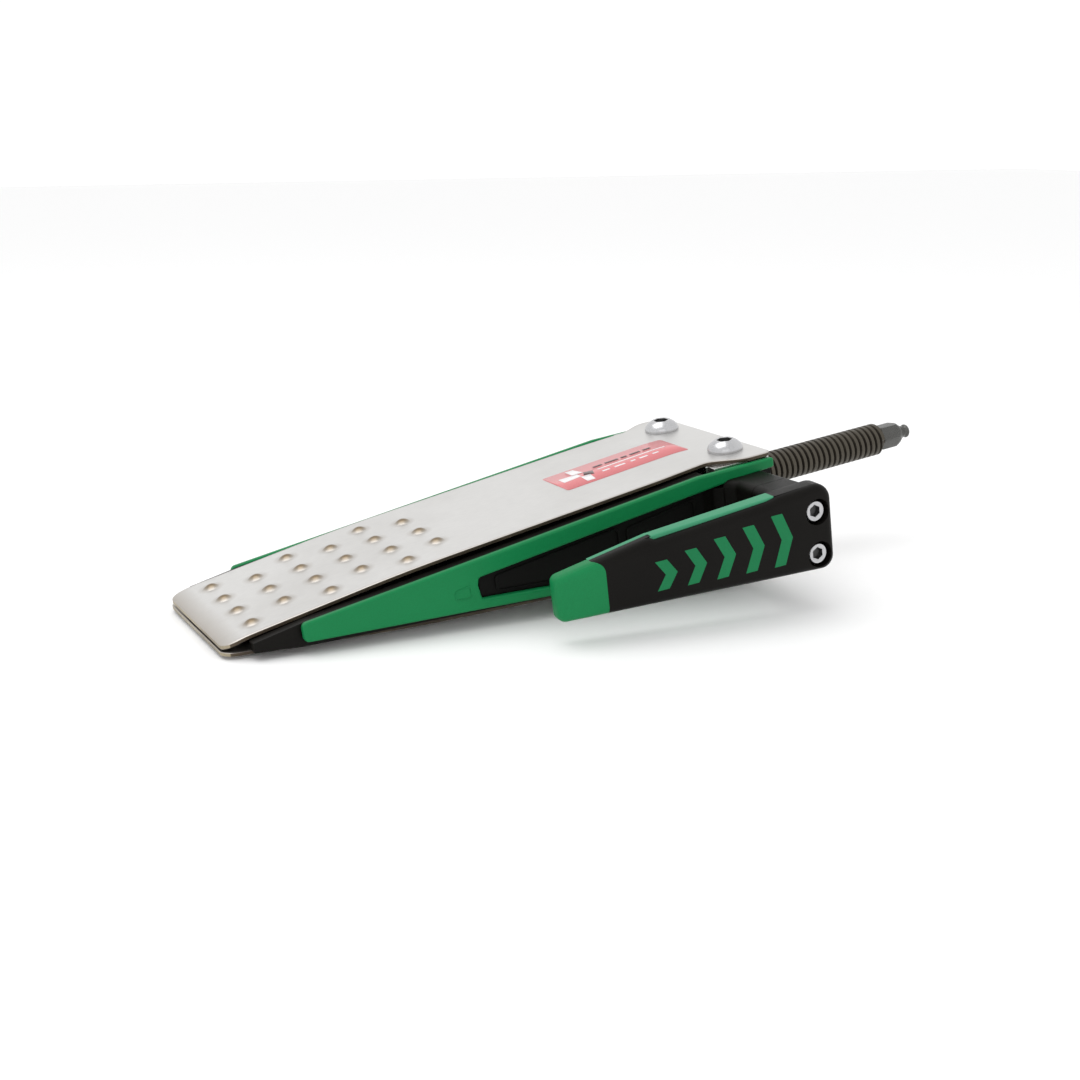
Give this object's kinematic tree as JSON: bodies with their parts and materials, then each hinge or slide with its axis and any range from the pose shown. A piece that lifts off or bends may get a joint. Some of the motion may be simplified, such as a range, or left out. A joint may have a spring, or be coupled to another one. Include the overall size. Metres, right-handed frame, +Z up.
{
  "type": "mechanical felling wedge",
  "caption": "Screw-driven felling wedge: a spindle pushes a plastic wedge between two steel sheets to tip a sawn tree; side handle.",
  "frame": {"origin": "centre of the bounding box, on the surface the tool lies on", "axes": "+X from the sheet tips toward the drive end, +Y away from the side handle, +Z up"},
  "size_m": [0.4656, 0.1802, 0.0832],
  "materials": {
    "black_nylon": "fine moulded grain, semi-matte",
    "black_inset": "matte",
    "green_plastic": "soft-touch, satin",
    "light_green": "soft-touch, satin",
    "green_print": "raised mark, satin",
    "spring_steel": "brushed, lightly worn",
    "bright_steel": "machined, bright",
    "zinc_screw": "bright zinc",
    "dark_steel": "oiled, dark",
    "bearing_steel": "polished",
    "bronze": "machined",
    "label_red": "printed foil",
    "label_white": "printed foil"
  },
  "bodies": {
    "wedge": {"wedge_body": "black_nylon", "side_strip_near": "green_plastic", "side_strip_far": "green_plastic", "inset_panel_near": "black_inset", "inset_panel_far": "black_inset", "handle_arm": "black_nylon", "handle_cap": "green_plastic", "handle_liner": "light_green", "handle_graphic": "green_print", "handle_screws": "zinc_screw", "handle_inserts": "bronze", "thrust_seat": "bright_steel", "thrust_race": "bearing_steel", "thrust_cage": "bronze", "thrust_balls": "bearing_steel", "bearing_cover": "bright_steel", "cover_screws": "dark_steel"},
    "nut_carriage": {"nut_block": "bright_steel", "bronze_nut": "bronze", "nut_screws": "dark_steel", "sheet_bolts": "zinc_screw", "nut_washers": "bright_steel", "lock_nuts": "zinc_screw", "sheet_head_top": "spring_steel", "sheet_head_bottom": "spring_steel"},
    "top_sheet": {"sheet_blade_top": "spring_steel", "label_plate": "label_red", "label_marks": "label_white"},
    "bottom_sheet": {"sheet_blade_bottom": "spring_steel"},
    "spindle": {"spindle_journal": "dark_steel", "thrust_collar": "dark_steel", "collar_ring": "dark_steel", "spindle_thread": "dark_steel", "drive_hex": "dark_steel", "pilot_stub": "dark_steel"}
  },
  "joints": [
    {"name": "nut_slide", "type": "slide", "parent": "wedge", "child": "nut_carriage", "axis": [0.9912, 0, 0.1325], "range_m": [0, 0.11]},
    {"name": "spindle_turn", "type": "hinge", "parent": "wedge", "child": "spindle", "pos_m": [0.06289, 0.0283, 0.04466], "axis": [0.9912, 0, 0.1325], "continuous": true},
    {"name": "top_sheet_spread", "type": "slide", "parent": "nut_carriage", "child": "top_sheet", "axis": [-0.1325, 0, 0.9912], "range_m": [0, 0.0107]},
    {"name": "bottom_sheet_spread", "type": "slide", "parent": "nut_carriage", "child": "bottom_sheet", "axis": [0.1325, 0, -0.9912], "range_m": [0, 0.0107]}
  ],
  "couplings": [
    {"joint": "spindle_turn", "follows": "nut_slide", "rad_per_m": -1570.8},
    {"joint": "top_sheet_spread", "follows": "nut_slide", "ratio": 0.096226},
    {"joint": "bottom_sheet_spread", "follows": "nut_slide", "ratio": 0.096226}
  ]
}
